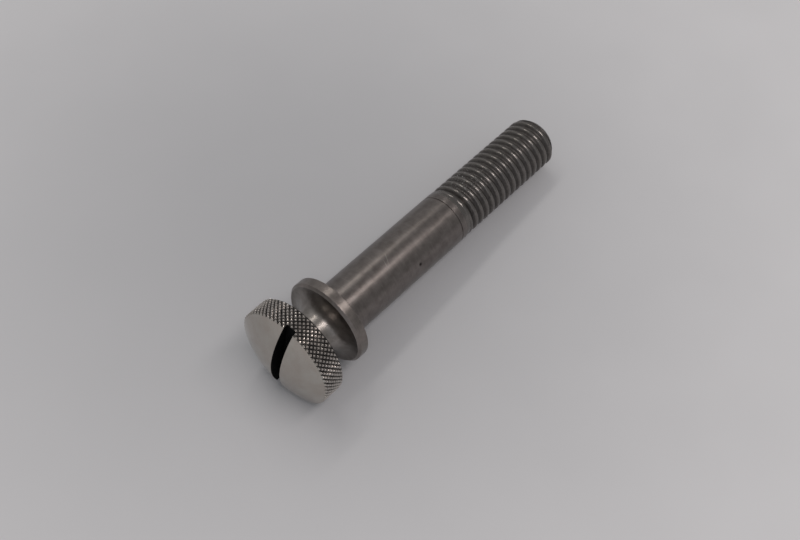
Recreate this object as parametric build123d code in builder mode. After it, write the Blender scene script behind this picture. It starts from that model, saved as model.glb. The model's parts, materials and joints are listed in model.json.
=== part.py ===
from build123d import *
import os
from math import atan2, ceil, cos, degrees, pi, radians, sin, sqrt, tan

# Thumb screw, turned from one piece of steel bar.
# It is drawn upright, as it stands in its hole: the axis is Z, z = 0 is the face under the collar that
# seats on the work, the head is above it and the thread hangs below. All lengths are in millimetres.
# At the end it is laid on its side, which is how it comes to rest on a table.

# Shank, from the seat down to the ring groove where the threaded end begins
shank_diameter = 8.0
shank_length = 22.7
ring_groove_width = 0.3
ring_groove_depth = 0.15

# Thread: coarse metric, right-hand, a little under the shank's size, with a plain land and a run-out above
screw_length = 44.8
thread_under_size = 0.1
thread_pitch = 1.25
flank_angle = 60.0
crest_flat = 0.16
root_flat = 0.3
thread_sides = 21
land_under_size = 0.04
land_length = 1.0
run_out_length = 1.9
thread_turn = 314.6
tip_chamfer = 0.9
tip_chamfer_angle = 40.0

# Collar
collar_diameter = 13.0
collar_thickness = 1.7
collar_front_bevel = 0.35

# Neck between the collar and the head: it flares into the collar in a cove, and meets the head in a cone
neck_diameter = 6.7
neck_gap = 4.2
cove_height = 1.9
head_cone_width = 1.2
head_cone_height = 1.2

# Head: a knurled rim under a low polished crown
head_diameter = 15.2
rim_width = 3.5
rim_front_bevel = 0.25
rim_back_bevel = 0.25
crown_edge_step = 0.5
crown_radius = 16.6

# Screwdriver slot across the crown
slot_width = 1.6
slot_depth = 2.45
slot_turn = -7.0

# Diamond knurl: two crossing sets of grooves at 45 degrees to the axis
knurl_lines = 64
knurl_depth = 0.2
knurl_lip = 0.04

# Levels along the axis
head_back_level = collar_thickness + neck_gap
neck_low_level = collar_thickness + cove_height
neck_high_level = head_back_level - head_cone_height
crown_edge_level = head_back_level + rim_width
knurl_low_level = head_back_level + rim_back_bevel
knurl_high_level = crown_edge_level - rim_front_bevel
groove_bottom_level = -shank_length - ring_groove_width
run_out_top_level = groove_bottom_level - land_length
full_thread_level = run_out_top_level - run_out_length
tip_level = -screw_length

# Radii
shank_radius = shank_diameter / 2
thread_radius = (shank_diameter - thread_under_size) / 2
land_radius = (shank_diameter - land_under_size) / 2
tip_radius = thread_radius - tip_chamfer * tan(radians(tip_chamfer_angle))
collar_radius = collar_diameter / 2
collar_bevel_radius = collar_radius - collar_front_bevel
neck_radius = neck_diameter / 2
cove_width = collar_bevel_radius - neck_radius
head_radius = head_diameter / 2
knurl_root_radius = head_radius - knurl_depth
knurl_shoulder_radius = knurl_root_radius - knurl_lip
head_back_radius = knurl_shoulder_radius - rim_back_bevel
head_core_radius = neck_radius + head_cone_width
crown_edge_radius = head_radius - crown_edge_step
crown_top_level = crown_edge_level + crown_radius - sqrt(crown_radius**2 - crown_edge_radius**2)

# Thread profile over one pitch, from the middle of a groove: root flat, flank, crest flat
flank_slope = tan(radians(flank_angle / 2))
thread_depth = (thread_pitch - crest_flat - root_flat) / 2 / flank_slope
thread_root_radius = thread_radius - thread_depth
thread_profile = (
    (thread_root_radius, -root_flat / 2),
    (thread_root_radius, root_flat / 2),
    (thread_radius, (thread_pitch - crest_flat) / 2),
    (thread_radius, (thread_pitch + crest_flat) / 2),
)
bar_turns = ceil((run_out_top_level - tip_level) / thread_pitch) + 2
bar_low_level = tip_level - 1.5 * thread_pitch
bar_high_level = bar_low_level + bar_turns * thread_pitch
blank_top_level = run_out_top_level + land_length / 2
blank_radius = tip_radius + (blank_top_level - tip_level) * tan(radians(tip_chamfer_angle))


# Knurl grid: grooves at 45 degrees cross as far apart along the rim as around it
knurl_columns = 2 * knurl_lines
knurl_rows = max(2, round((knurl_high_level - knurl_low_level) * knurl_columns / (pi * head_diameter)))
knurl_step = (knurl_high_level - knurl_low_level) / knurl_rows


def knurl_knot(column, row):
    """A foot or a tip of the knurl's pyramids, which take turns along each row."""
    is_tip = (column + row) % 2 == 0 and 0 < row < knurl_rows
    radius = head_radius if is_tip else knurl_root_radius
    turn = 2 * pi * (column % knurl_columns) / knurl_columns
    return Vector(radius * cos(turn), radius * sin(turn), knurl_low_level + knurl_step * row)


def knurl_band():
    """A solid ring of small pyramids, as a knurling wheel leaves them.

    The two sets of grooves cross at equally spaced knots. Each pyramid has its four feet at such
    crossings and its tip half-way between them. The last row at each end closes down to the root.
    """

    facets = []
    for row in range(knurl_rows):
        for column in range(knurl_columns):
            near, right = knurl_knot(column, row), knurl_knot(column + 1, row)
            above, far = knurl_knot(column, row + 1), knurl_knot(column + 1, row + 1)
            if (column + row) % 2 == 0:
                halves = [(near, right, above), (far, above, right)]
            else:
                halves = [(right, far, near), (above, near, far)]
            facets += [Face(Wire.make_polygon(corners)) for corners in halves]
    for row in (0, knurl_rows):
        outline = [knurl_knot(column, row) for column in range(knurl_columns)]
        facets.append(Face(Wire.make_polygon(outline)))
    return Solid(Shell(facets))


def thread_point(side, step):
    """A corner of the thread: `side` counts round the bar, `step` counts up the profile."""
    pitches, corner = divmod(step, len(thread_profile))
    radius, rise = thread_profile[corner]
    turns, place = divmod(side, thread_sides)
    angle = radians(thread_turn) + 2 * pi * place / thread_sides
    climb = turns + place / thread_sides + pitches
    return Vector(radius * cos(angle), radius * sin(angle), bar_low_level + thread_pitch * climb + rise)


def threaded_bar():
    """A bar of screw stock, longer than needed at both ends.

    Its profile climbs by one pitch in each turn, so the last side joins the first one a pitch higher.
    Each end is closed by a fan of facets about a hub on the axis.
    """

    profile_steps = len(thread_profile)
    last_step = bar_turns * profile_steps
    facets = []
    for step in range(last_step):
        is_flat = thread_profile[step % profile_steps][0] == thread_profile[(step + 1) % profile_steps][0]
        for side in range(thread_sides):
            near, right = thread_point(side, step), thread_point(side + 1, step)
            above, far = thread_point(side, step + 1), thread_point(side + 1, step + 1)
            pieces = [(near, right, far, above)] if is_flat else [(near, right, above), (right, far, above)]
            facets += [Face(Wire.make_polygon(corners)) for corners in pieces]
    for step, hub_level in ((0, bar_low_level - thread_pitch), (last_step, bar_high_level + 2 * thread_pitch)):
        hub = Vector(0, 0, hub_level)
        for side in range(thread_sides):
            rim_edge = (thread_point(side, step), thread_point(side + 1, step))
            facets.append(Face(Wire.make_polygon((hub, *rim_edge))))
        riser = [thread_point(0, step + corner) for corner in range(profile_steps + 1)]
        facets.append(Face(Wire.make_polygon((hub, *riser))))
    return Solid(Shell(facets))


# Threaded end: the bar cut to length, with its tip chamfered
with BuildPart() as threaded_end:
    add(threaded_bar())
    with BuildSketch(Plane.XZ):
        with BuildLine():
            Polyline(
                (0, tip_level),
                (tip_radius, tip_level),
                (blank_radius, blank_top_level),
                (0, blank_top_level),
                close=True,
            )
        make_face()
    revolve(axis=Axis.Z, mode=Mode.INTERSECT)
print(f"threaded end: {threaded_end.part.volume:.1f}, {threaded_end.part.is_valid}")

# The screw, upright
with BuildPart() as upright:
    # Collar, shank and threaded end, turned in one profile
    with BuildSketch(Plane.XZ):
        with BuildLine():
            Line((0, neck_low_level), (neck_radius, neck_low_level))
            EllipticalCenterArc(
                (collar_bevel_radius, neck_low_level), cove_width, cove_height,
                start_angle=180, arc_size=90,
            )
            Polyline(
                (collar_bevel_radius, collar_thickness),
                (collar_radius, collar_thickness - collar_front_bevel),
                (collar_radius, 0),
                (shank_radius, 0),
                (shank_radius, -shank_length),
                (shank_radius - ring_groove_depth, -shank_length),
                (land_radius, groove_bottom_level),
                (land_radius, run_out_top_level),
                (thread_root_radius, full_thread_level),
                (0, full_thread_level),
                (0, neck_low_level),
            )
        make_face()
    revolve(axis=Axis.Z)

    # Thread, which rises out of the cone of the run-out
    add(threaded_end.part)

    # Head blank: the other half of the neck, the back of the rim, the crown, and a core that is
    # narrower than the knurl, which is added round it
    with BuildSketch(Plane.XZ):
        with BuildLine():
            Polyline(
                (0, neck_low_level),
                (neck_radius, neck_low_level),
                (neck_radius, neck_high_level),
                (head_core_radius, head_back_level),
                (head_back_radius, head_back_level),
                (knurl_shoulder_radius, knurl_low_level),
                (head_core_radius, knurl_low_level),
                (head_core_radius, knurl_high_level),
                (knurl_shoulder_radius, knurl_high_level),
                (crown_edge_radius, crown_edge_level),
            )
            RadiusArc((crown_edge_radius, crown_edge_level), (0, crown_top_level), -crown_radius)
            Line((0, crown_top_level), (0, neck_low_level))
        make_face()
    revolve(axis=Axis.Z)

    # Knurl
    add(knurl_band())

    # Slot, straight across and open through the rim on both sides
    with BuildSketch(Plane.XY.offset(crown_top_level)):
        Rectangle(head_diameter + slot_width, slot_width, rotation=slot_turn)
    extrude(amount=-slot_depth, mode=Mode.SUBTRACT)

# Laid on its side: it touches the table with the lowest row of knurl tips and the last thread crest,
# so its axis slopes down from the head to the tip. The tip points along +X, the table is z = 0, and
# the origin is on the table under the middle of the screw.
head_contact_level = knurl_low_level + knurl_step
tip_contact_level = tip_level + tip_chamfer
rest_slope = degrees(atan2(head_radius - thread_radius, head_contact_level - tip_contact_level))
lying = Location((0, 0, 0), (0, rest_slope - 90, 0))
reach = (lying * upright.part).bounding_box()
on_table = Location((-reach.center().X, -reach.center().Y, -reach.min.Z))

with BuildPart() as thumb_screw:
    with Locations(on_table * lying):
        add(upright.part)

thumb_screw.part.label = "thumb_screw"
os.makedirs("parts", exist_ok=True)
export_step(thumb_screw.part, "parts/thumb_screw.step")

seat = on_table * lying
print(f"solids {len(thumb_screw.part.solids())}, volume {thumb_screw.part.volume:.1f} mm3")
print(f"size {thumb_screw.part.bounding_box().size}, slope {rest_slope:.2f} degrees")
print(f"seat centre {seat.position}, screw length over all {crown_top_level - tip_level:.2f}")
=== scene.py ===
# %% [markdown]
# # A thumb screw on a pale table
# The object is a thumb screw, turned from one piece of steel bar. It has a low polished crown with a slot for a
# screwdriver, a knurled rim, a narrow neck, a collar, a long plain shank and a threaded end.
# The CAD frame gives its sizes and where it lies. The frame's own mesh has few facets, which is right for checks
# and too coarse for a close look. It could be smoothed with a bevel, but that would blur the knurl and the
# thread. So the screw is modelled again, finer and on the same sizes, and takes the frame's place.

import json
from math import asin, atan2, cos, degrees, pi, radians, sin, sqrt, tan

import bpy
from mathutils import Matrix, Vector


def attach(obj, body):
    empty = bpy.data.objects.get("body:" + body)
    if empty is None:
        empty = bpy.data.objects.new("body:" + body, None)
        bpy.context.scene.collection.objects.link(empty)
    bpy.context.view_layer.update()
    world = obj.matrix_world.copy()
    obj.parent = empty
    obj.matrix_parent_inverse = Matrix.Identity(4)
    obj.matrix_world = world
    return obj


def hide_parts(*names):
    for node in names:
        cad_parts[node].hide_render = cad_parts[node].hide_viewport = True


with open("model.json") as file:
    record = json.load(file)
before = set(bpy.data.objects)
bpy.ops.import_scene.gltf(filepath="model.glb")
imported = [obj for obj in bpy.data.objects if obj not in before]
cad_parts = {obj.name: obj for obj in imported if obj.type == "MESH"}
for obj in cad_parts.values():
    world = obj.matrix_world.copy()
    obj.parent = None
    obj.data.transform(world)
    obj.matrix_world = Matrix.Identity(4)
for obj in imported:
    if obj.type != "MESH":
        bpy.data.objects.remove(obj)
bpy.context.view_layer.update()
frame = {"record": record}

# %% [markdown]
# ## Sizes
# The screw is modelled upright and in millimetres, as it would stand in its hole: the axis is Z, z = 0 is the
# seat under the collar, the head is above it and the thread hangs below. At the end it is laid down and made
# metres. It could be modelled lying down, but working upright keeps every turned form square to the axes.
# Working in millimetres keeps Blender's merge and bisect distances, which are made for objects of everyday size,
# from eating small detail. Two radii are read from the frame's record. The others are the CAD part's own sizes.

# %% Sizes in millimetres, as in the CAD part
mounts = {mount["name"]: mount for mount in frame["record"]["mounts"]}
SHANK_RADIUS = mounts["shank"]["dims"]["r_mm"]
THREAD_RADIUS = mounts["thread"]["dims"]["r_mm"]
SHANK_LENGTH = 22.7
GROOVE_WIDTH = 0.3
GROOVE_DEPTH = 0.15
LAND_RADIUS = 3.98
LAND_LENGTH = 1.0
RUN_OUT_LENGTH = 1.9
SCREW_LENGTH = 44.8

COLLAR_RADIUS = 6.5
COLLAR_THICKNESS = 1.7
COLLAR_BEVEL = 0.35
NECK_RADIUS = 3.35
NECK_GAP = 4.2
COVE_HEIGHT = 1.9
HEAD_CONE = 1.2

HEAD_RADIUS = 7.6
RIM_WIDTH = 3.5
CROWN_EDGE_RADIUS = 7.1
CROWN_RADIUS = 16.6
SLOT_WIDTH = 1.6
SLOT_DEPTH = 2.45
SLOT_TURN = -7.0

HEAD_BACK = COLLAR_THICKNESS + NECK_GAP
CROWN_EDGE = HEAD_BACK + RIM_WIDTH
CROWN_CENTRE = CROWN_EDGE - sqrt(CROWN_RADIUS**2 - CROWN_EDGE_RADIUS**2)
CROWN_TOP = CROWN_CENTRE + CROWN_RADIUS
RUN_OUT_TOP = -(SHANK_LENGTH + GROOVE_WIDTH + LAND_LENGTH)
print("crown top", round(CROWN_TOP, 3), "run-out starts", RUN_OUT_TOP)

# %% [markdown]
# ## The turned form
# On the lathe the whole outline is cut while the bar spins. It could be stacked from cylinders and cones, but
# their joints would need cleaning. Blender's Spin does what the lathe does: a half section is drawn in the XZ
# plane and spun once round Z. Corners that a lathe tool leaves are never quite sharp, and a tiny rounding there
# catches the light as a bright line, so the outline has small arcs at its corners. One more point close to each
# end of an arc keeps the straight run beside it flat in the shading.

# %% Draw a half section with rounded corners
ARC_STEPS = 4
HOLD = 0.02


def arc(centre, radius, start, end, count):
    """Points along an arc in the half section, angles in degrees from the X direction."""
    angles = [radians(start + (end - start) * step / count) for step in range(count + 1)]
    return [(centre[0] + radius * cos(angle), centre[1] + radius * sin(angle)) for angle in angles]


def rounded(before, corner, after, radius):
    """Points that round the corner between two straight runs of the outline."""
    corner = Vector(corner)
    to_before, to_after = Vector(before) - corner, Vector(after) - corner
    half = to_before.angle(to_after) / 2
    back, onward = to_before.normalized(), to_after.normalized()
    reach = radius / tan(half)
    start, end = corner + back * reach, corner + onward * reach
    middle = corner + (back + onward).normalized() * (radius / sin(half))
    points = [tuple(start + back * HOLD)]
    for step in range(ARC_STEPS + 1):
        spoke = (start - middle).lerp(end - middle, step / ARC_STEPS).normalized() * radius
        points.append(tuple(middle + spoke))
    return points + [tuple(end + onward * HOLD)]


def outline(corners):
    """A half section from (radius, z, rounding) corners. A rounding of 0 leaves the corner sharp."""
    points = []
    for index, (radius, level, rounding) in enumerate(corners):
        if rounding:
            before, after = corners[index - 1][:2], corners[index + 1][:2]
            points += rounded(before, (radius, level), after, rounding)
        else:
            points.append((radius, level))
    return points


print("points of one rounded corner", len(rounded((1, 0), (0, 0), (0, 1), 0.1)))

# %% [markdown]
# ### The head's outline
# The blank is the whole screw without its knurl, slot and thread. Its rim is a hair narrower than the head,
# because the blank's side will later cut the tips of the knurl flat, as years of fingers have worn them. The
# crown is one arc, and a few tenths of a degree of it are left to the small rounding at its edge.

# %% Outline of the crown, the rim and the neck
CROWN_STEPS = 22
CROWN_SPARE = 0.25
RIM_STOCK = HEAD_RADIUS - 0.005
FRONT_BEVEL_SLOPE = 0.5
BACK_BEVEL = 0.3
BACK_RADIUS = 7.25
EDGE_ROUND = 0.05
HEAD_CORNER_ROUND = 0.35
NECK_CORNER_ROUND = 0.8

crown_tilt = degrees(asin(CROWN_EDGE_RADIUS / CROWN_RADIUS))
crown = arc((0, CROWN_CENTRE), CROWN_RADIUS, 90, 90 - crown_tilt + CROWN_SPARE, CROWN_STEPS)
front_bevel = (RIM_STOCK - CROWN_EDGE_RADIUS) * FRONT_BEVEL_SLOPE
rim_and_neck = outline([
    (*crown[-1], 0),
    (CROWN_EDGE_RADIUS, CROWN_EDGE, EDGE_ROUND),
    (RIM_STOCK, CROWN_EDGE - front_bevel, 0),
    (RIM_STOCK, HEAD_BACK + BACK_BEVEL, EDGE_ROUND),
    (BACK_RADIUS, HEAD_BACK, EDGE_ROUND),
    (NECK_RADIUS + HEAD_CONE, HEAD_BACK, HEAD_CORNER_ROUND),
    (NECK_RADIUS, HEAD_BACK - HEAD_CONE, NECK_CORNER_ROUND),
    (NECK_RADIUS, COLLAR_THICKNESS + COVE_HEIGHT, 0),
])
print("head outline", len(crown) + len(rim_and_neck), "points")

# %% [markdown]
# ### The collar's and the shank's outline
# The neck flares into the collar in a cove, which is a quarter of an ellipse. Below the seat come the shank, a
# fine ring groove and a short land. The blank ends in a cone that the thread fades into. It is drawn as a curve
# that steepens, because a thread that runs out gets shallower slowly at first.

# %% Outline of the collar, the shank and the run-out
COVE_STEPS = 14
COLLAR_FRONT_ROUND = 0.12
COLLAR_BACK_ROUND = 0.1
SEAT_CORNER_ROUND = 0.08
SHANK_END_ROUND = 0.03
GROOVE_ROUND = 0.02
GROOVE_WALL = 0.05
GROOVE_FLOOR = 0.12
THREAD_ROOT = 3.266
FADE_START = 0.2
FADE_END = 3.4
FADE_SLOWER = 0.4
FADE_STEPS = 14

bevel_inner = COLLAR_RADIUS - COLLAR_BEVEL
cove_width = bevel_inner - NECK_RADIUS
cove = []
for step in range(1, COVE_STEPS + 1):
    angle = pi + pi / 2 * step / COVE_STEPS
    cove.append((bevel_inner + cove_width * cos(angle), COLLAR_THICKNESS + COVE_HEIGHT * (1 + sin(angle))))
groove_radius = SHANK_RADIUS - GROOVE_DEPTH
collar_and_shank = outline([
    (*cove[-1], 0),
    (COLLAR_RADIUS, COLLAR_THICKNESS - COLLAR_BEVEL, COLLAR_FRONT_ROUND),
    (COLLAR_RADIUS, 0, COLLAR_BACK_ROUND),
    (SHANK_RADIUS, 0, SEAT_CORNER_ROUND),
    (SHANK_RADIUS, -SHANK_LENGTH, SHANK_END_ROUND),
    (groove_radius, -SHANK_LENGTH - GROOVE_WALL, GROOVE_ROUND),
    (groove_radius, -SHANK_LENGTH - GROOVE_WALL - GROOVE_FLOOR, GROOVE_ROUND),
    (LAND_RADIUS, -SHANK_LENGTH - GROOVE_WIDTH + GROOVE_WALL, EDGE_ROUND),
    (LAND_RADIUS, RUN_OUT_TOP + FADE_START, 0),
])
fade = []
for step in range(1, FADE_STEPS + 1):
    below = FADE_END * step / FADE_STEPS
    drop = (LAND_RADIUS - THREAD_ROOT) * (below / (RUN_OUT_LENGTH + FADE_SLOWER)) ** 2
    fade.append((LAND_RADIUS - drop, RUN_OUT_TOP + FADE_START - below))
fade.append((0, fade[-1][1]))
print("shank outline", len(cove) + len(collar_and_shank) + len(fade), "points")

# %% [markdown]
# ### Spinning it
# An operator works on what is selected and active, so each step says that first. These small helpers do what a
# maker does in the viewport: pick one object, go into edit mode, spin, merge the seam and turn the faces out.
# 180 steps in a turn keep the shank's outline round even in a close look.

# %% Spin the half section once round
TURN_STEPS = 180
SEAM_MERGE = 0.0005


def pick(obj):
    """Makes this the only selected object, and the active one."""
    bpy.ops.object.select_all(action="DESELECT")
    obj.select_set(True)
    bpy.context.view_layer.objects.active = obj


def edit(obj):
    """Goes into edit mode on this object with all of it selected."""
    pick(obj)
    bpy.ops.object.mode_set(mode="EDIT")
    bpy.ops.mesh.select_all(action="SELECT")


def leave_edit():
    """Goes back to object mode."""
    bpy.ops.object.mode_set(mode="OBJECT")


def drawn(name, points):
    """An object of points joined in a row, such as a drawn half section."""
    mesh = bpy.data.meshes.new(name)
    mesh.from_pydata(points, [(index, index + 1) for index in range(len(points) - 1)], [])
    obj = bpy.data.objects.new(name, mesh)
    bpy.context.collection.objects.link(obj)
    return obj


def turned(name, half_section):
    """A closed solid of revolution: the half section is spun once round Z and its seam is merged."""
    obj = drawn(name, [(radius, 0, level) for radius, level in half_section])
    edit(obj)
    bpy.ops.mesh.spin(steps=TURN_STEPS, angle=2 * pi, center=(0, 0, 0), axis=(0, 0, 1))
    bpy.ops.mesh.select_all(action="SELECT")
    bpy.ops.mesh.remove_doubles(threshold=SEAM_MERGE)
    bpy.ops.mesh.normals_make_consistent(inside=False)
    leave_edit()
    return obj


screw = turned("thumb_screw_turned", crown[:-1] + rim_and_neck + cove[:-1] + collar_and_shank + fade)
print("blank", len(screw.data.polygons), "faces")

# %% [markdown]
# ## The knurl
# A knurling wheel presses two crossing sets of V grooves into the rim and leaves small pyramids between them. A
# bump in the material could hint at them, but the rim's outline and its glints need real facets. So one strip of
# the pattern is modelled flat: a grid turned by 45 degrees, each square poked up into a pyramid, and the strip
# cut to one groove's width. The pyramids are poked a little too high, by what will be worn off.

# %% Model one strip of knurl
KNURL_LINES = 64
KNURL_DEPTH = 0.27
KNURL_WORN = 0.07
GRID_SQUARES = 18
BAND_SPARE = 1.6
CUT_MERGE = 0.00001

knurl_root = HEAD_RADIUS - KNURL_DEPTH
line_step = 2 * pi * knurl_root / KNURL_LINES
square_side = line_step / sqrt(2)
band_height = RIM_WIDTH + BAND_SPARE


def cut_off(place, outward):
    """Cuts the mesh in edit mode with a plane and deletes what lies beyond it."""
    bpy.ops.mesh.select_all(action="SELECT")
    bpy.ops.mesh.bisect(plane_co=place, plane_no=outward, clear_outer=True, threshold=CUT_MERGE)


pick(screw)
bpy.ops.mesh.primitive_grid_add(
    x_subdivisions=GRID_SQUARES, y_subdivisions=GRID_SQUARES, size=GRID_SQUARES * square_side,
    rotation=(0, 0, pi / 4),
)
knurl = bpy.context.object
knurl.name = "knurled_bar"
bpy.ops.object.transform_apply(location=False, rotation=True, scale=False)
edit(knurl)
bpy.ops.mesh.poke(offset=KNURL_DEPTH + KNURL_WORN, use_relative_offset=False, center_mode="MEDIAN")
for side in (-1, 1):
    cut_off((side * line_step / 2, 0, 0), (side, 0, 0))
    cut_off((0, side * band_height / 2, 0), (0, side, 0))
leave_edit()
knurl.rotation_euler = (pi / 2, 0, 0)
pick(knurl)
bpy.ops.object.transform_apply(location=False, rotation=True, scale=False)
print("lines", round(line_step, 3), "mm apart, one strip", len(knurl.data.polygons), "faces")

# %% [markdown]
# ### The knurled band
# The strip is repeated by Array, its edges are eased with a bevel because a pressed metal edge is never sharp,
# and Simple Deform bends the whole band into a ring. Easing it while it is flat is exact and quick, and the bend
# carries the eased edges with it.

# %% Repeat the strip and bend the band into a ring
KNURL_EASE = 0.02
KNURL_MERGE = 0.001


def apply_modifier(obj, kind, **settings):
    """Adds one modifier with its settings and applies it."""
    modifier = obj.modifiers.new(kind.lower(), kind)
    for setting, value in settings.items():
        setattr(modifier, setting, value)
    pick(obj)
    bpy.ops.object.modifier_apply(modifier=modifier.name)


apply_modifier(
    knurl, "ARRAY", count=KNURL_LINES, use_relative_offset=False, use_constant_offset=True,
    constant_offset_displace=(line_step, 0, 0), use_merge_vertices=True, merge_threshold=KNURL_MERGE,
)
edit(knurl)
bpy.ops.transform.translate(value=(-(KNURL_LINES - 1) * line_step / 2, 0, 0))
bpy.ops.mesh.remove_doubles(threshold=KNURL_MERGE)
bpy.ops.mesh.bevel(offset=KNURL_EASE, offset_type="OFFSET", segments=1, affect="EDGES")
leave_edit()
apply_modifier(knurl, "SIMPLE_DEFORM", deform_method="BEND", deform_axis="Z", angle=2 * pi)
edit(knurl)
bpy.ops.transform.translate(value=(0, -knurl_root, HEAD_BACK + RIM_WIDTH / 2))
bpy.ops.mesh.remove_doubles(threshold=KNURL_MERGE)
leave_edit()
print("knurl", len(knurl.data.polygons), "faces")

# %% [markdown]
# ### Knurl and blank together
# The band is still an open ring. Its two open edges are drawn out past the ends of the blank and capped, so it is
# a closed bar that is knurled over the rim. It could be joined to the rim as a separate band, but intersecting
# the bar with the blank does two jobs at once: the bar gives the rim its knurl, and the blank's side and bevels
# cut the pyramids' tips and both edges of the band, as wear and the lathe did.

# %% Close the bar and intersect it with the blank
BAR_REACH = 40.0


def combine(obj, other, operation):
    """Cuts, joins or intersects two closed solids. The second one is used up."""
    apply_modifier(obj, "BOOLEAN", object=other, operation=operation, solver="EXACT")
    bpy.data.objects.remove(other)
    print(obj.name, operation.lower(), len(obj.data.polygons), "faces")


rim_middle = HEAD_BACK + RIM_WIDTH / 2
for side in (-1, 1):
    edit(knurl)
    bpy.ops.mesh.select_all(action="DESELECT")
    leave_edit()
    for vertex in knurl.data.vertices:
        vertex.select = abs(vertex.co.z - (rim_middle + side * band_height / 2)) < KNURL_MERGE
    bpy.ops.object.mode_set(mode="EDIT")
    bpy.ops.mesh.extrude_region_move(TRANSFORM_OT_translate={"value": (0, 0, side * BAR_REACH)})
    leave_edit()
edit(knurl)
bpy.ops.mesh.fill_holes(sides=0)
bpy.ops.mesh.normals_make_consistent(inside=False)
leave_edit()
combine(screw, knurl, "INTERSECT")

# %% [markdown]
# ## The thread
# A thread is one V profile that climbs by one pitch in each turn. Rings stacked in a row would look alike from
# far off, but they would not climb, and the end of a thread shows that at once. So the profile of a single pitch
# is drawn and Blender's Screw modifier winds it up into a threaded bar. On this old screw the roots are half
# filled with hard dirt, which makes them round and shallow, and the crests are eased by use. Both flanks lean by
# 30 degrees, so the arc at the root and the arc at the crest sweep the other 60.

# %% Draw one pitch of the thread
PITCH = 1.25
FILLED_ROOT = 3.5
ROOT_ROUND = 0.3
CREST_ROUND = 0.193
CREST_HALF = 0.08
ARC_SWEEP = 60
ROOT_STEPS = 3
CREST_STEPS = 4


def thread_profile():
    """One pitch from root to root: filled root, flank at 30 degrees, eased crest and back."""
    half = arc((FILLED_ROOT + ROOT_ROUND, 0), ROOT_ROUND, 180, 180 - ARC_SWEEP, ROOT_STEPS)
    crest_centre = (THREAD_RADIUS - CREST_ROUND, PITCH / 2 - CREST_HALF)
    half += arc(crest_centre, CREST_ROUND, -ARC_SWEEP, 0, CREST_STEPS)
    half.append((THREAD_RADIUS, PITCH / 2))
    mirrored = [(radius, PITCH - level) for radius, level in reversed(half[:-1])]
    return half + mirrored


bar = drawn("threaded_bar", [(radius, 0, level) for radius, level in thread_profile()])
print("thread profile", len(bar.data.vertices), "points, depth", round(THREAD_RADIUS - FILLED_ROOT, 2), "mm")

# %% [markdown]
# ### Winding the bar
# A wound bar has slanting ends, so it can't be wound to its exact length. It is wound longer than the thread at
# both ends, its two open ends are closed, and it is turned until its crests lie where the CAD part's crests lie.

# %% Wind up a threaded bar
THREAD_TURN = 314.6
THREAD_STEPS = 96
BAR_TURNS = 19
SPARE_TURNS = 1.5
BAR_LOW = -SCREW_LENGTH - SPARE_TURNS * PITCH

apply_modifier(
    bar, "SCREW", axis="Z", angle=2 * pi, steps=THREAD_STEPS, render_steps=THREAD_STEPS, screw_offset=PITCH,
    iterations=BAR_TURNS, use_merge_vertices=True, merge_threshold=SEAM_MERGE,
)
edit(bar)
bpy.ops.mesh.remove_doubles(threshold=SEAM_MERGE)
bpy.ops.mesh.select_all(action="DESELECT")
bpy.ops.mesh.select_non_manifold(
    extend=False, use_wire=False, use_boundary=True, use_multi_face=False, use_non_contiguous=False,
    use_verts=False,
)
bpy.ops.mesh.fill_holes(sides=0)
bpy.ops.mesh.select_all(action="SELECT")
bpy.ops.mesh.normals_make_consistent(inside=False)
leave_edit()
bar.location = (0, 0, BAR_LOW)
bar.rotation_euler = (0, 0, radians(THREAD_TURN))
pick(bar)
bpy.ops.object.transform_apply(location=True, rotation=True, scale=True)
print("threaded bar", len(bar.data.polygons), "faces")

# %% [markdown]
# ### The tip
# The bar is cut to length with a chamfer at its tip, so that it enters its hole easily. A cone that widens
# upwards does both cuts, when the bar is intersected with it. Then the bar joins the screw and rises out of the
# run-out cone by itself.

# %% Cut the bar to length, chamfer its tip and join it to the screw
TIP_CHAMFER = 0.9
TIP_ANGLE = 40.0
TIP_ROUND = 0.12
BLANK_TOP = RUN_OUT_TOP + LAND_LENGTH / 2

tip_radius = THREAD_RADIUS - TIP_CHAMFER * tan(radians(TIP_ANGLE))
wide = tip_radius + (BLANK_TOP + SCREW_LENGTH) * tan(radians(TIP_ANGLE))
tip_form = turned("tip_form", outline([
    (0, -SCREW_LENGTH, 0),
    (tip_radius, -SCREW_LENGTH, TIP_ROUND),
    (wide, BLANK_TOP, 0),
    (0, BLANK_TOP, 0),
]))
combine(bar, tip_form, "INTERSECT")
combine(screw, bar, "UNION")

# %% [markdown]
# ## The slot
# A slitting saw cuts the slot straight across the crown, out through the rim on both sides, with a flat floor. It
# could be made by moving faces, but they would have to be cut first. A box that is subtracted does what the saw
# does.

# %% Saw the slot
pick(screw)
bpy.ops.mesh.primitive_cube_add(
    size=1, location=(0, 0, CROWN_TOP), rotation=(0, 0, radians(SLOT_TURN)),
    scale=(3 * HEAD_RADIUS, SLOT_WIDTH, 2 * SLOT_DEPTH),
)
combine(screw, bpy.context.object, "DIFFERENCE")

# %% [markdown]
# ### The mouth of the slot
# The saw's burr was rubbed off, which leaves a narrow bright bevel along the mouth. A bevel operator would meet
# hundreds of short edges there. The mouth follows the crown, so its cutter is a wedge that is spun round the
# crown's own centre: first turned back by half of its travel, then spun through all of it.

# %% Ease the mouth of the slot
MOUTH_EASE = 0.07
WEDGE_OVERLAP = 0.01
WEDGE_REACH = 0.5
WEDGE_TRAVEL = 80
WEDGE_STEPS = 64

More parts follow.
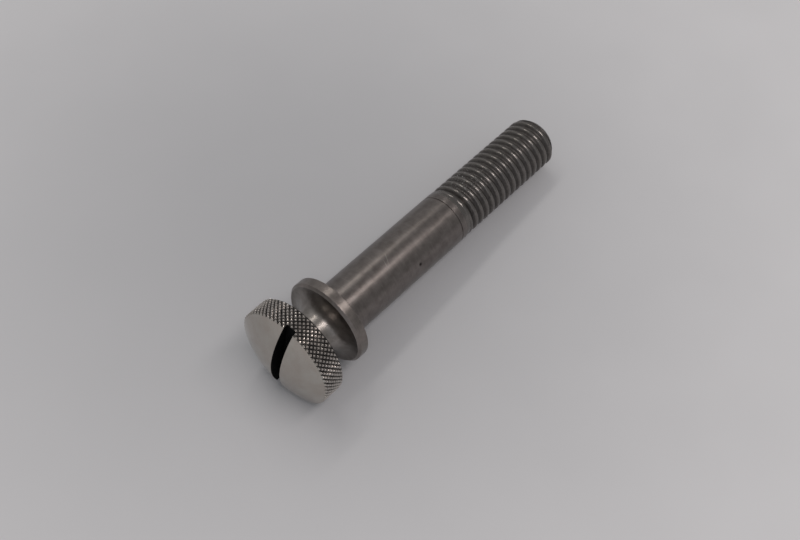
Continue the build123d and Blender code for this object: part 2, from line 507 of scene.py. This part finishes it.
half_slot = SLOT_WIDTH / 2
wedge_top = CROWN_TOP + WEDGE_REACH
wedge_low = CROWN_TOP - MOUTH_EASE - WEDGE_OVERLAP
wedge = drawn("wedge", [
    (0, -half_slot + WEDGE_OVERLAP, wedge_low),
    (0, half_slot - WEDGE_OVERLAP, wedge_low),
    (0, half_slot + MOUTH_EASE + WEDGE_REACH, wedge_top),
    (0, -half_slot - MOUTH_EASE - WEDGE_REACH, wedge_top),
])
edit(wedge)
bpy.ops.mesh.edge_face_add()
bpy.ops.transform.rotate(value=radians(-WEDGE_TRAVEL / 2), orient_axis="Y", center_override=(0, 0, CROWN_CENTRE))
bpy.ops.mesh.spin(
    steps=WEDGE_STEPS, angle=radians(WEDGE_TRAVEL), center=(0, 0, CROWN_CENTRE), axis=(0, 1, 0),
)
bpy.ops.mesh.select_all(action="SELECT")
bpy.ops.mesh.normals_make_consistent(inside=False)
leave_edit()
wedge.rotation_euler = (0, 0, radians(SLOT_TURN))
pick(wedge)
bpy.ops.object.transform_apply(location=False, rotation=True, scale=False)
print("wedge", [round(size, 2) for size in wedge.dimensions])
combine(screw, wedge, "DIFFERENCE")

# %% [markdown]
# ## Laying the screw down
# On a table the screw lies on the lowest knurl tips and the last thread crest, so its axis dips towards the tip.
# The frame's record says where the middle of the shank is and which way it points. The object could be left
# turned, but a pattern in a material follows an object's own axes, and they have to stay the frame's. So the
# finished mesh is turned, moved and made metres once, and its object stays at the origin.

# %% Lay the screw where the frame has it
MM = 0.001
SMOOTH_UNDER = 30

shank = mounts["shank"]
axis = Vector(shank["axis"]).normalized()
seat = Vector(shank["pos_m"]) - axis * (shank["dims"]["length_mm"] / 2 / 1000)
lean = atan2(-axis.z, axis.x)
lie_down = Matrix.Translation(seat) @ Matrix.Rotation(lean - pi / 2, 4, "Y") @ Matrix.Scale(MM, 4)
screw.matrix_world = lie_down
pick(screw)
bpy.ops.object.transform_apply(location=True, rotation=True, scale=True)
bpy.ops.object.shade_smooth_by_angle(angle=radians(SMOOTH_UNDER))
print("lies at", [round(value, 5) for value in seat], "lean", round(degrees(lean), 2))

# %% [markdown]
# ## Materials
# The whole screw is one steel, but each tool left its own surface: the crown was polished, the shank, collar and
# neck were turned to a satin, the knurl and the thread were pressed and cut and have since filled with grime. One
# material with masks could do it all, but one for each surface is easier to read and to change. Every one is
# procedural. Colours are written as on a paint card and turned to the linear values that light is worked out in.

# %% Colours and nodes
def linear(hex_code):
    """An sRGB hex colour as Blender's linear colour."""
    channels = [int(hex_code[index:index + 2], 16) / 255 for index in (1, 3, 5)]
    return tuple(c / 12.92 if c <= 0.04045 else ((c + 0.055) / 1.055) ** 2.4 for c in channels) + (1.0,)


def new_material(name):
    """An empty material."""
    material = bpy.data.materials.new(name)
    material.use_nodes = True
    material.node_tree.nodes.clear()
    return material


def add_node(material, kind, links=None, inputs=None, **settings):
    """Adds one node, with its settings, its fixed inputs and what is linked into it."""
    node = material.node_tree.nodes.new(kind)
    for setting, value in settings.items():
        setattr(node, setting, value)
    for socket, value in (inputs or {}).items():
        node.inputs[socket].default_value = value
    for socket, source in (links or {}).items():
        material.node_tree.links.new(source, node.inputs[socket])
    return node


print("a middle grey in linear light", round(linear("#808080")[0], 3))

# %% [markdown]
# ### Finding the place on the screw
# Wear and dirt follow the screw's own form: how far from the axis, how high along it. A Mapping node takes the
# finished object's coordinates back to the upright screw in millimetres, so a pattern can be given in the same
# sizes as the shape. The helpers after it each add one thing: a noise, a range, a mix, a sum, a relief. Most of a
# noise lies between 0.3 and 0.7, so that is the range that is spread out when it should be seen in full.

# %% Places, patterns and relief
MOST_NOISE = (0.3, 0.7)
SHALLOW = 0.05 * MM
DEEP = 0.1 * MM


def upright_place(material):
    """The place on the upright screw, in millimetres."""
    coordinates = add_node(material, "ShaderNodeTexCoord")
    return add_node(
        material, "ShaderNodeMapping", {"Vector": coordinates.outputs["Object"]},
        {"Location": tuple(seat), "Rotation": (0, lean - pi / 2, 0), "Scale": (MM, MM, MM)},
        vector_type="TEXTURE",
    ).outputs[0]


def noise(material, place, scale, detail=3.0, stretch=(1, 1, 1), roughness=0.6):
    """Noise of so many features per unit of place, squeezed along the axes by `stretch`."""
    squeezed = add_node(material, "ShaderNodeVectorMath", {0: place}, {1: stretch}, operation="MULTIPLY")
    node = add_node(material, "ShaderNodeTexNoise", {"Vector": squeezed.outputs[0]},
                    {"Scale": scale, "Detail": detail, "Roughness": roughness})
    return node.outputs["Fac"]


def span(material, value, low, high, to_low=0.0, to_high=1.0):
    """Takes a value's range low..high to another range, and holds it there."""
    return add_node(material, "ShaderNodeMapRange", {"Value": value}, {
        "From Min": low, "From Max": high, "To Min": to_low, "To Max": to_high}).outputs[0]


def blend(material, factor, first, second):
    """Mixes two colours. Each is a hex colour or an output."""
    node = add_node(material, "ShaderNodeMix", {"Factor": factor}, data_type="RGBA")
    for socket, colour in (("A", first), ("B", second)):
        entry = [entry for entry in node.inputs if entry.name == socket and entry.type == "RGBA"][0]
        if isinstance(colour, str):
            entry.default_value = linear(colour)
        else:
            material.node_tree.links.new(colour, entry)
    return [entry for entry in node.outputs if entry.type == "RGBA"][0]


def calculate(material, operation, first, second):
    """One Math node. Each value is a number or an output."""
    node = add_node(material, "ShaderNodeMath", operation=operation)
    for index, value in enumerate((first, second)):
        if isinstance(value, (int, float)):
            node.inputs[index].default_value = value
        else:
            material.node_tree.links.new(value, node.inputs[index])
    return node.outputs[0]


def bump(material, height, strength, distance=SHALLOW, under=None):
    """Relief from a height, its depth in metres, over another relief if there is one."""
    links = {"Height": height}
    if under is not None:
        links["Normal"] = under
    return add_node(material, "ShaderNodeBump", links, {"Strength": strength, "Distance": distance}).outputs[0]


print("relief is", SHALLOW, "or", DEEP, "m deep")

# %% [markdown]
# ### Turned steel
# The shank, collar and neck are satin: fine feed marks run round the metal, broken by handling into a soft
# mottle. The eye sees long, soft highlights with grainy edges. An anisotropic shader could stretch them, but the
# exported model would lose it, so a roughness near 0.3 and a fine relief do it here.
# Real feed marks are about 0.05 mm apart, too fine to draw at this distance, so they are drawn 0.2 mm apart, and
# so is the grain. The mottle's spots are about a millimetre. The cove is painted lighter than the collar: painted
# light that lifts the shade in this recess.

# %% Turned steel
FEED_MARKS_PER_MM = (0.25, 0.25, 5.0)
SPOTS_PER_MM = 0.9
GRAIN_PER_MM = 5.0
TONES = (0.35, 0.65)
FEED_SHARE = 0.25
SEAT_BLEND = (-0.1, 0.0)
COVE_PAINTED_LIGHT_BLEND = (COLLAR_THICKNESS - 0.15, COLLAR_THICKNESS + 0.2)

turned_steel = new_material("turned_steel")
place = upright_place(turned_steel)
height = add_node(turned_steel, "ShaderNodeSeparateXYZ", {0: place}).outputs["Z"]
rings = noise(turned_steel, place, 1.0, 2.0, FEED_MARKS_PER_MM)
mottle = noise(turned_steel, place, SPOTS_PER_MM, 4.0)
grain = noise(turned_steel, place, GRAIN_PER_MM, 2.0)
tone = calculate(turned_steel, "ADD", calculate(turned_steel, "MULTIPLY", rings, FEED_SHARE),
                 calculate(turned_steel, "MULTIPLY", mottle, 1 - FEED_SHARE))
shank_colour = blend(turned_steel, span(turned_steel, tone, *TONES), "#6B6562", "#7F7976")
collar_colour = blend(turned_steel, span(turned_steel, tone, *TONES), "#726C68", "#88817D")
# Painted light: the cove gets a lighter colour than the collar, which lifts the shade in this recess.
cove_colour_with_painted_light = blend(turned_steel, span(turned_steel, mottle, *TONES), "#827D79", "#9A9591")
colour = blend(turned_steel, span(turned_steel, height, *SEAT_BLEND), shank_colour, collar_colour)
colour = blend(turned_steel, span(turned_steel, height, *COVE_PAINTED_LIGHT_BLEND), colour, cove_colour_with_painted_light)
rough = span(turned_steel, tone, *MOST_NOISE, 0.28, 0.34)
relief = bump(turned_steel, rings, 0.015)
relief = bump(turned_steel, mottle, 0.05, DEEP, relief)
relief = bump(turned_steel, grain, 0.15, under=relief)
print(turned_steel.name, len(turned_steel.node_tree.nodes), "nodes so far")

# %% [markdown]
# ### A pit and two scratches
# The shank has one dark pit on its side and two short pale scratches on its top. They could be painted on an
# image, but a place on the screw is enough: a pit is what lies within a small ball, and a scratch is what lies
# within a thin slab near a point. Then the metal shader takes the colour, the roughness and the relief.

# %% Mark the shank and finish the turned steel
PIT_PLACE = (1.67, -3.63, -13.8)
PIT_FADE = (0.12, 0.36)
SCRATCHES = (
    {"centre": (3.95, -0.65, -10.0), "across": (0, 0.5, 0.87), "length": 0.9},
    {"centre": (3.90, -0.95, -9.3), "across": (0, 0.35, 0.94), "length": 0.6},
)
SCRATCH_FADE = (0.03, 0.08)
SCRATCH_STRENGTH = 0.25


def spot(material, place, centre, inner, outer):
    """1 inside a small ball, fading to 0 at its outer radius."""
    away = add_node(material, "ShaderNodeVectorMath", {0: place}, {1: centre}, operation="DISTANCE")
    return span(material, away.outputs["Value"], inner, outer, 1.0, 0.0)


def scratch(material, place, centre, across, length):
    """1 in a thin straight line through a point, square to `across` and fading out at both ends."""
    offset = add_node(material, "ShaderNodeVectorMath", {0: place}, {1: centre}, operation="SUBTRACT")
    aside = add_node(material, "ShaderNodeVectorMath", {0: offset.outputs[0]}, {1: across},
                     operation="DOT_PRODUCT")
    away = calculate(material, "ABSOLUTE", aside.outputs["Value"], 0.0)
    line = span(material, away, *SCRATCH_FADE, 1.0, 0.0)
    return calculate(material, "MULTIPLY", line, spot(material, place, centre, 0.5 * length, length))


def finish(material, colour, roughness, normal, metallic=1.0, shine=0.5):
    """The shader itself. Metallic may be an output or a fixed value, and a metal keeps its default IOR."""
    shader = add_node(material, "ShaderNodeBsdfPrincipled",
                      {"Roughness": roughness, "Normal": normal, "Base Color": colour},
                      {"Specular IOR Level": shine})
    if isinstance(metallic, (int, float)):
        shader.inputs["Metallic"].default_value = metallic
    else:
        material.node_tree.links.new(metallic, shader.inputs["Metallic"])
    add_node(material, "ShaderNodeOutputMaterial", {"Surface": shader.outputs[0]})
    print(material.name, len(material.node_tree.nodes), "nodes")


pit = spot(turned_steel, place, PIT_PLACE, *PIT_FADE)
scratches = calculate(turned_steel, "MAXIMUM", *[scratch(turned_steel, place, **mark) for mark in SCRATCHES])
colour = blend(turned_steel, pit, colour, "#2E2A28")
colour = blend(turned_steel, calculate(turned_steel, "MULTIPLY", scratches, SCRATCH_STRENGTH), colour, "#C9C3BF")
finish(turned_steel, colour, rough, bump(turned_steel, pit, -0.3, DEEP, relief))

# %% [markdown]
# ### Polished crown
# The crown was polished and is nearly a mirror, so the eye sees the pale room in it, slightly warm. A perfect
# mirror would look like chrome. Soft waves a few millimetres wide, as a polishing mop leaves them, bend the
# reflection a little, and finer wiping marks make it uneven.

# %% Polished crown
MOP_WAVES_PER_MM = 0.35
WIPE_MARKS_PER_MM = 1.2

polished_crown = new_material("polished_crown")
place = upright_place(polished_crown)
cloud = noise(polished_crown, place, MOP_WAVES_PER_MM, 3.0)
wipe = noise(polished_crown, place, WIPE_MARKS_PER_MM, 3.0, (1.0, 4.0, 1.0))
colour = blend(polished_crown, span(polished_crown, cloud, *TONES), "#B9B5AE", "#B0A8A0")
rough = span(polished_crown, wipe, *MOST_NOISE, 0.1, 0.18)
relief = bump(polished_crown, cloud, 0.15, DEEP)
relief = bump(polished_crown, wipe, 0.03, under=relief)
finish(polished_crown, colour, rough, relief)


# %% [markdown]
# ### Grimy steel
# Dirt collects where a cloth does not reach. A mask painted by hand could show that, but in the knurl and in the
# thread it is simply depth: the distance from the axis, less than the outer radius, with some noise so that the
# edge of the dirt wanders. The eye sees bare bright tips and crests between dark lines. Dirt is rougher than the
# steel and hardly metallic. The thread's crests have nicks, and near one place a painted highlight: bright glints
# painted into the colour.

# %% Grimy steel for the knurl and the thread
NICKS_PER_MM = 2.2
PATCH_RANGE = (0.25, 0.75)
GLINTS_PER_MM = 4.5
GLINT_CUT = (0.62, 0.7)
GLINT_STRENGTH = 0.8
GLINT_FADE = (1.5, 3.8)


def from_axis(material, place):
    """How far a place is from the axis of the upright screw."""
    flat = add_node(material, "ShaderNodeVectorMath", {0: place}, {1: (1, 1, 0)}, operation="MULTIPLY")
    return add_node(material, "ShaderNodeVectorMath", {0: flat.outputs[0]}, operation="LENGTH").outputs["Value"]


def grimy_steel(name, tips, roots, bare, dirt, rough_range, dirt_range, patches_per_mm, spread, nick_depth, dull,
                glint_at=None):
    """Steel that is bare at the outer radius and full of dirt at the root radius."""
    material = new_material(name)
    place = upright_place(material)
    patches = noise(material, place, patches_per_mm, 5.0, roughness=0.7)
    depth = span(material, from_axis(material, place), tips, roots)
    grime = calculate(material, "ADD", depth, span(material, patches, *PATCH_RANGE, -spread, spread))
    grime = span(material, grime, *dirt_range)
    colour = blend(material, grime, bare, dirt)
    if glint_at is not None:
        # Painted highlight: bright glint specks are painted into the colour near one place on the thread.
        painted_glint_speck = span(material, noise(material, place, GLINTS_PER_MM, 2.0), *GLINT_CUT, 0.0, GLINT_STRENGTH)
        glint = calculate(material, "MULTIPLY", painted_glint_speck, spot(material, place, glint_at, *GLINT_FADE))
        colour = blend(material, glint, colour, "#E8E5E2")
    rough = span(material, grime, 0.0, 1.0, *rough_range)
    metallic = span(material, grime, 0.0, 1.0, 1.0, dull)
    relief = bump(material, noise(material, place, NICKS_PER_MM, 4.0), nick_depth, DEEP)
    finish(material, colour, rough, relief, metallic)
    return material


knurled_steel = grimy_steel(
    "knurled_steel", HEAD_RADIUS, HEAD_RADIUS - KNURL_DEPTH, bare="#C2BBB5", dirt="#120F0E",
    rough_range=(0.17, 0.5), dirt_range=(0.12, 0.8), patches_per_mm=0.8, spread=0.3, nick_depth=0.35, dull=0.25,
)
thread_steel = grimy_steel(
    "thread_steel", THREAD_RADIUS, FILLED_ROOT, bare="#76726F", dirt="#4A4745", rough_range=(0.22, 0.42),
    dirt_range=(0.1, 0.9), patches_per_mm=2.0, spread=0.35, nick_depth=0.4, dull=0.9,
    glint_at=(3.76, 1.06, -29.0),
)

# %% [markdown]
# ### Painted shade in the slot
# The slot is deep and narrow, and the eye sees only black in it. Steel there would mirror the room along its
# walls. So its faces are painted near black, not metal, rough and almost without shine: painted shade that hides
# the reflections.

# %% Dark slot
SLOT_MOTTLE_PER_MM = 2.0

# Painted shade: the slot's faces take a near-black, non-metal colour in place of the shade in the slot.
slot_painted_shade = new_material("slot_painted_shade")
place = upright_place(slot_painted_shade)
slot_shade_mottle = noise(slot_painted_shade, place, SLOT_MOTTLE_PER_MM, 3.0)
colour = blend(slot_painted_shade, slot_shade_mottle, "#020203", "#060606")
rough = span(slot_painted_shade, slot_shade_mottle, *MOST_NOISE, 0.6, 0.9)
finish(slot_painted_shade, colour, rough, bump(slot_painted_shade, slot_shade_mottle, 0.3, DEEP), metallic=0.0, shine=0.1)

# %% [markdown]
# ## Which face has which finish
# On the real screw each finish ends where a tool stopped. The faces could be picked by hand, but after the
# booleans there are tens of thousands. So each face is asked where it is on the upright screw and which way it
# faces, and takes the material of that place.

# %% Give each face its material
SLOT_MARGIN = 0.002
BELOW_CROWN = 0.01
BEVEL_REACH = 0.35
FACING_UP = 0.3
RIM_FROM = HEAD_BACK + 0.06
KNURL_FROM = HEAD_RADIUS - KNURL_DEPTH - 0.12
THREAD_TO = RUN_OUT_TOP + 0.15

stand_up = lie_down.inverted()
along_slot = Vector((cos(radians(SLOT_TURN)), sin(radians(SLOT_TURN)), 0))
across_slot = Vector((0, 0, 1)).cross(along_slot)


def finish_at(centre, facing):
    """The finish at this place of the upright screw, for a face that faces this way."""
    radius = sqrt(centre.x**2 + centre.y**2)
    crown_height = CROWN_CENTRE + sqrt(CROWN_RADIUS**2 - min(radius, CROWN_EDGE_RADIUS) ** 2)
    over_slot = abs(centre.dot(across_slot)) < SLOT_WIDTH / 2 + SLOT_MARGIN
    if over_slot and CROWN_TOP - SLOT_DEPTH - SLOT_MARGIN < centre.z < crown_height - BELOW_CROWN:
        return slot_painted_shade
    if centre.z > CROWN_EDGE - BEVEL_REACH and facing.z > FACING_UP:
        return polished_crown
    if centre.z > RIM_FROM and radius > KNURL_FROM:
        return knurled_steel
    return thread_steel if centre.z < THREAD_TO else turned_steel


materials = [turned_steel, polished_crown, knurled_steel, thread_steel, slot_painted_shade]
screw.data.materials.clear()
for material in materials:
    screw.data.materials.append(material)
counts = [0] * len(materials)
for face in screw.data.polygons:
    facing = (stand_up.to_3x3() @ face.normal).normalized()
    face.material_index = materials.index(finish_at(stand_up @ face.center, facing))
    counts[face.material_index] += 1
print("faces by material", dict(zip([material.name for material in materials], counts)))

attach(screw, "root")
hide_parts("thumb_screw")

# %% [markdown]
# ## The table
# The screw lies on a pale grey table top, matt. Its colour is painted darker near the screw and lighter away from
# it: painted shade and light that follow how the room's light falls. A single flat colour would look empty, so
# the paint has soft clouds about 2 cm wide and a grain. A real grain is finer than a pixel here, so it is drawn
# about a millimetre wide.

# %% Table
TABLE_SIZE = 3.0
PAINTED_SHADE_MIDDLE = (-0.005, 0.02, 0)
PAINTED_SHADE_REACH = 0.1
CLOUDS_PER_M = 60.0
CLOUD_STRENGTH = 0.04
GRAIN_PER_M = 900.0

pick(screw)
bpy.ops.mesh.primitive_plane_add(size=TABLE_SIZE, location=(0, 0, 0))
table = bpy.context.object
table.name = "table"
table_top = new_material("table_top")
place = add_node(table_top, "ShaderNodeTexCoord").outputs["Object"]
# Painted shade: the table is darker round a point near the screw and lighter towards its edges, as the light
# falls.
away = add_node(table_top, "ShaderNodeVectorMath", {0: place}, {1: PAINTED_SHADE_MIDDLE}, operation="DISTANCE")
painted_shade_and_clouds = add_node(table_top, "ShaderNodeMapRange", {"Value": away.outputs["Value"]},
                 {"From Min": 0.0, "From Max": PAINTED_SHADE_REACH}, interpolation_type="SMOOTHSTEP").outputs[0]
cloud = noise(table_top, place, CLOUDS_PER_M, 2.0, roughness=0.5)
painted_shade_and_clouds = calculate(table_top, "ADD", painted_shade_and_clouds, span(table_top, cloud, *MOST_NOISE, -CLOUD_STRENGTH, CLOUD_STRENGTH))
colour = blend(table_top, painted_shade_and_clouds, "#B2B3B6", "#D7D7D9")
rough = span(table_top, cloud, *MOST_NOISE, 0.5, 0.65)
grain = noise(table_top, place, GRAIN_PER_M, 2.0, roughness=0.5)
finish(table_top, colour, rough, bump(table_top, grain, 0.04, 2 * DEEP), metallic=0.0)
table.data.materials.append(table_top)

# %% [markdown]
# ## Light
# The light is a soft room with two long ceiling strips that run along the screw. The near one makes the broad
# bright line on the shank and the bright spots on the thread. The far one makes the thin line and throws the
# short soft shadow. Windows on both sides and the white room fill the rest, so the shadow stays pale. A picture
# of a room could light it too, but lamps can be placed for each line of light that the metal should show.

# %% Light
ROOM_LIGHT = 0.315

world = bpy.data.worlds.new("room")
bpy.context.scene.world = world
world.use_nodes = True
room = world.node_tree.nodes["Background"]
room.inputs["Color"].default_value = linear("#FFFFFF")
room.inputs["Strength"].default_value = ROOM_LIGHT


def soft_lamp(name, direction, distance, size, power, colour="#FFFFFF", slide=0.0):
    """A flat lamp in this direction from the screw, turned to it and then slid along X."""
    data = bpy.data.lights.new(name, "AREA")
    data.shape = "RECTANGLE"
    data.size, data.size_y = size
    data.energy = power
    data.color = linear(colour)[:3]
    lamp = bpy.data.objects.new(name, data)
    bpy.context.collection.objects.link(lamp)
    lamp.location = Vector(direction).normalized() * distance + Vector((slide, 0, 0))
    lamp.rotation_euler = Vector(direction).to_track_quat("Z", "Y").to_euler()
    print(name, power, "W,", size, "m")


soft_lamp("near_strip", (0, -0.398, 0.917), distance=0.6, size=(0.66, 0.11), power=1.3, colour="#FFF7F4")
soft_lamp("far_strip", (0, 0.45, 0.89), distance=0.6, size=(0.44, 0.06), power=0.43, colour="#FFFAF4",
          slide=0.12)
soft_lamp("far_window", (0.1, 0.8, 0.75), distance=1.1, size=(1.4, 1.4), power=1.0)
soft_lamp("near_window", (-0.6, -0.6, 0.55), distance=1.3, size=(2.1, 2.1), power=2.2, colour="#ECF0FF")

# %% [markdown]
# ## Camera
# The camera looks down on the head from in front, along the screw and a little across it. Its place, its heading,
# its dip and its slight roll were fitted to the outline of the screw. The lens is given as its focal length in
# pixels of the picture, as such a fit gives it. View transform Standard shows each colour as it is written.

# %% Camera
CAMERA_PLACE = (-0.075224, -0.06327, 0.148686)
HEADING = 41.3126
DIP = 56.6851
ROLL = 0.1189
FOCAL_PIXELS = 1226.56
PICTURE_WIDTH = 800
SENSOR_WIDTH = 36.0
NEAREST = 0.01

camera_data = bpy.data.cameras.new("camera")
camera_data.sensor_width = SENSOR_WIDTH
camera_data.lens = FOCAL_PIXELS * SENSOR_WIDTH / PICTURE_WIDTH
camera_data.clip_start = NEAREST
camera = bpy.data.objects.new("camera", camera_data)
bpy.context.collection.objects.link(camera)
turn_to_heading = Matrix.Rotation(radians(HEADING - 90), 4, "Z")
look_down = Matrix.Rotation(radians(90 - DIP), 4, "X")
camera.matrix_world = (
    Matrix.Translation(CAMERA_PLACE) @ turn_to_heading @ look_down @ Matrix.Rotation(radians(ROLL), 4, "Z")
)
bpy.context.scene.camera = camera
bpy.context.scene.view_settings.view_transform = "Standard"
print("lens", round(camera_data.lens, 2), "mm")
